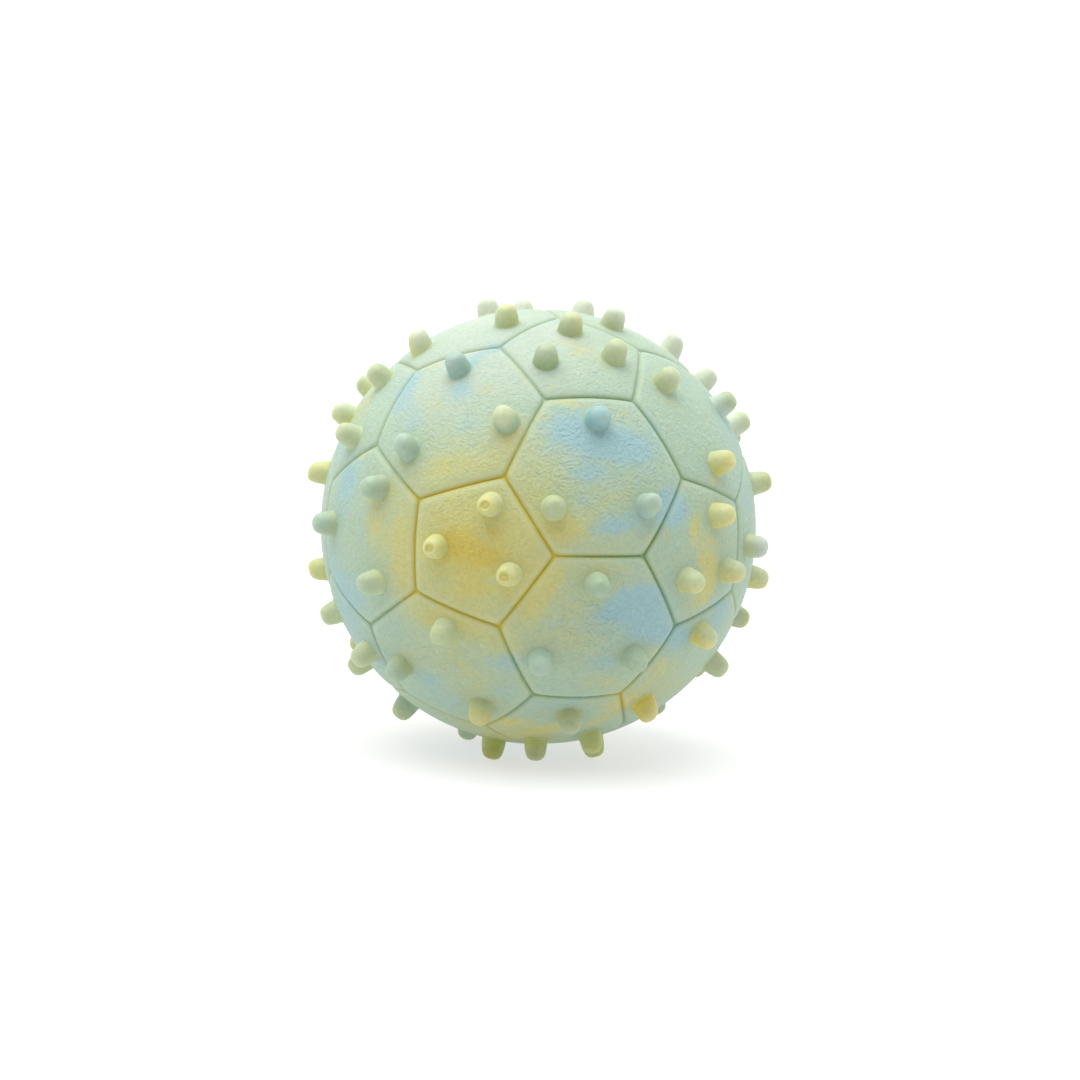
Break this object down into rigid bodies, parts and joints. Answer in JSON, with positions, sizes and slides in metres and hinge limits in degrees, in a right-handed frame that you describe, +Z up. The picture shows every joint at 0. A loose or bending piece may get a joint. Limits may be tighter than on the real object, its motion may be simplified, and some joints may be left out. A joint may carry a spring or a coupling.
{
  "type": "spiky dog ball",
  "caption": "Soft latex dog ball in a football panel pattern with blunt moulded spikes, fibre filled around a reed squeaker that sounds when the ball is squeezed.",
  "frame": {"origin": "on the floor under the ball, at the middle of the ball's bounding box; the ball stands on four spike tips at z = 0", "axes": "+Z up, +Y away from the viewer of the picture, +X to their right"},
  "size_m": [0.0786, 0.0792, 0.0765],
  "materials": {
    "latex": "matte",
    "plug_latex": "matte",
    "fibre": "matte",
    "stiff_plastic": "satin",
    "soft_plastic": "satin",
    "reed_plastic": "satin",
    "tongue_film": "gloss"
  },
  "bodies": {
    "ball": {"latex_skin": "latex", "fill_hole_plug": "plug_latex", "fibre_filling": "fibre", "squeaker_base": "stiff_plastic", "reed_barrel": "reed_plastic", "reed_wedge": "reed_plastic"},
    "bellows": {"squeaker_dome": "soft_plastic"},
    "reed": {"reed_tongue": "tongue_film"}
  },
  "joints": [
    {"name": "squeeze", "type": "slide", "parent": "ball", "child": "bellows", "axis": [0, 0, -1], "range_m": [0, 0.008], "stiffness_N_per_m": 350, "deforming": ["latex_skin", "fill_hole_plug", "fibre_filling"]},
    {"name": "reed_flex", "type": "hinge", "parent": "ball", "child": "reed", "pos_m": [-0.00009, 0.00007, 0.03416], "axis": [1, 0, 0], "range_deg": [-3, 3], "stiffness_Nm_per_rad": 0.0002}
  ]
}
